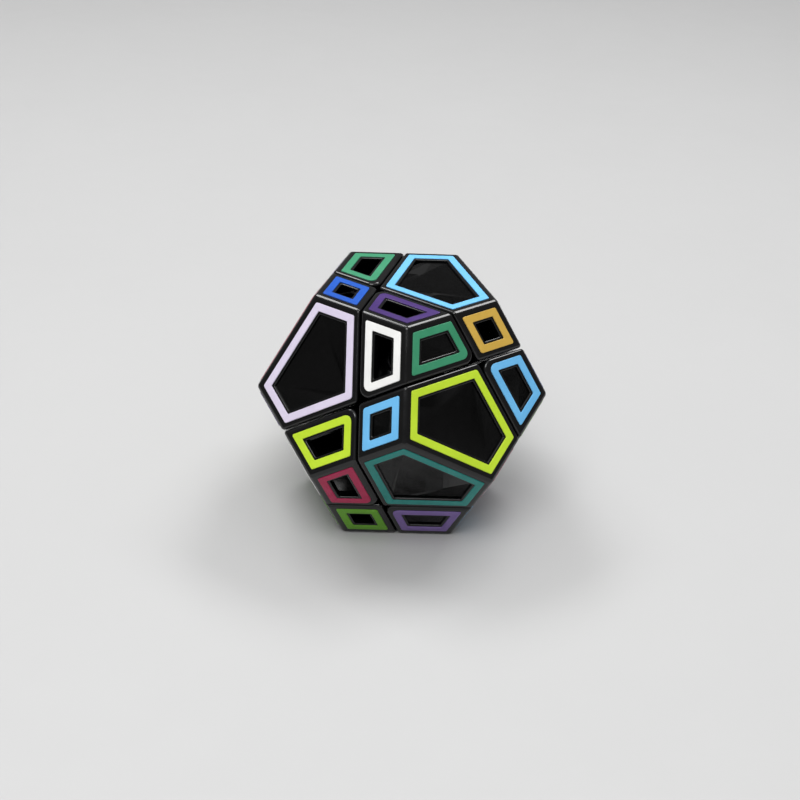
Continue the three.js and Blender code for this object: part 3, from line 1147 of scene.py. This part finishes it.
@dataclass
class Studio:
    """The floor, the soft lights and the camera. Lengths are in metres, and angles in degrees."""

    centre: Vector
    floor_side: float = 6.0
    clearance: float = 0.00002
    azimuth: float = -2.169
    elevation: float = 29.249
    roll: float = 2.65
    distance: float = 0.4645
    lens: float = 74.756
    shift: tuple[float, float] = (-0.0007, -0.0099)
    sky: float = 0.24
    boxes: tuple[Softbox, ...] = (
        Softbox("ceiling_box", 0, 90, 2.6, 3.0, 23.0),
        Softbox("key_box", -15, 55, 0.8, 0.42, 3.7),
        Softbox("left_box", -133, 56, 0.8, 0.46, 2.5, 0.15),
        Softbox("right_box", 133, 56, 0.8, 0.46, 2.5, 0.15),
    )

    def direction(self, azimuth: float, elevation: float) -> Vector:
        """Points from the centre towards an azimuth and elevation, with azimuth 0 in front."""
        a, e = math.radians(azimuth), math.radians(elevation)
        return Vector((math.sin(a) * math.cos(e), -math.cos(a) * math.cos(e), math.sin(e)))

    def add(self, name: str, data: bpy.types.ID) -> bpy.types.Object:
        """Adds an object to the scene."""
        thing = bpy.data.objects.new(name, data)
        bpy.context.scene.collection.objects.link(thing)
        return thing

    def lay_floor(self) -> None:
        """Lays the plain pale floor."""
        bm = bmesh.new()
        bmesh.ops.create_grid(bm, x_segments=1, y_segments=1, size=self.floor_side / 2)
        bmesh.ops.translate(bm, verts=bm.verts[:], vec=Vector((0, 0, -self.clearance)))
        mesh = bpy.data.meshes.new("floor")
        bm.to_mesh(mesh)
        bm.free()
        floor = self.add("floor", mesh)
        dress(floor, StudioFloor().make())

    def light(self) -> None:
        """Hangs the soft boxes, and fills the room with even light."""
        for box in self.boxes:
            lamp = bpy.data.lights.new(box.name, "AREA")
            lamp.shape = "RECTANGLE"
            lamp.size = box.side
            lamp.size_y = box.depth or box.side
            lamp.energy = box.power
            thing = self.add(box.name, lamp)
            towards = self.direction(box.azimuth, box.elevation)
            thing.location = self.centre + towards * box.distance
            thing.rotation_mode = "QUATERNION"
            thing.rotation_quaternion = towards.to_track_quat("Z", "Y")
        world = bpy.data.worlds.new("studio")
        world.use_nodes = True
        background = world.node_tree.nodes["Background"]
        background.inputs["Color"].default_value = (1.0, 1.0, 1.0, 1.0)
        background.inputs["Strength"].default_value = self.sky
        bpy.context.scene.world = world

    def aim(self) -> None:
        """Sets up the camera."""
        data = bpy.data.cameras.new("camera")
        data.sensor_width = 36.0
        data.lens = self.lens
        data.shift_x, data.shift_y = self.shift
        data.clip_start = 0.01
        data.clip_end = 20.0
        back = self.direction(self.azimuth, self.elevation)
        level = UP.cross(back).normalized()
        over = back.cross(level)
        r = math.radians(self.roll)
        right = level * math.cos(r) + over * math.sin(r)
        top = over * math.cos(r) - level * math.sin(r)
        camera = self.add("camera", data)
        turn = Matrix((right, top, back)).transposed().to_4x4()
        camera.matrix_world = Matrix.Translation(self.centre + back * self.distance) @ turn
        bpy.context.scene.camera = camera

    def build(self) -> None:
        """Sets the whole studio up."""
        self.aim()
        self.lay_floor()
        self.light()
        bpy.context.scene.view_settings.view_transform = "Standard"


def main() -> None:
    """Builds the studio, the mechanism, the shells, the window frames, the caps and the springs."""
    logging.basicConfig(level=logging.INFO, format="%(message)s")
    Studio((CAD_LOW + CAD_HIGH) / 2).build()
    Mechanism().place()
    gloss = GlossPlastic("shell_plastic", (0.018, 0.018, 0.02), (0.30, 0.30, 0.31)).make()
    for name, axis in {**CORNERS, **EDGES}.items():
        kind = Kind.CORNER if name in CORNERS else Kind.EDGE
        shell = Shell(name, kind, Vector(axis).normalized())
        shell.place(shell.build(), gloss)
    satin = {hue: SatinPlastic(f"frame_{hue.name.lower()}", hue.value).make() for hue in Hue}
    for outline in OUTLINES:
        window = WindowFrame(outline)
        window.place(window.build(), satin[outline.hue])
    cap_plastic = GlossPlastic("cap_plastic", (0.05, 0.05, 0.053), (0.3, 0.3, 0.31)).make()
    for name, axis in zip(CORNERS, SCREW_AXES):
        cap = ScrewCap(name, axis)
        cap.place(cap.build(), cap_plastic)
    spring_steel = Steel("spring_steel", (0.72, 0.73, 0.75), (0.2, 0.4)).make()
    for name, axis in zip(CORNERS, SCREW_AXES):
        spring = Spring(name, axis)
        spring.place(spring.build(), spring_steel)


if __name__ == "__main__":
    main()
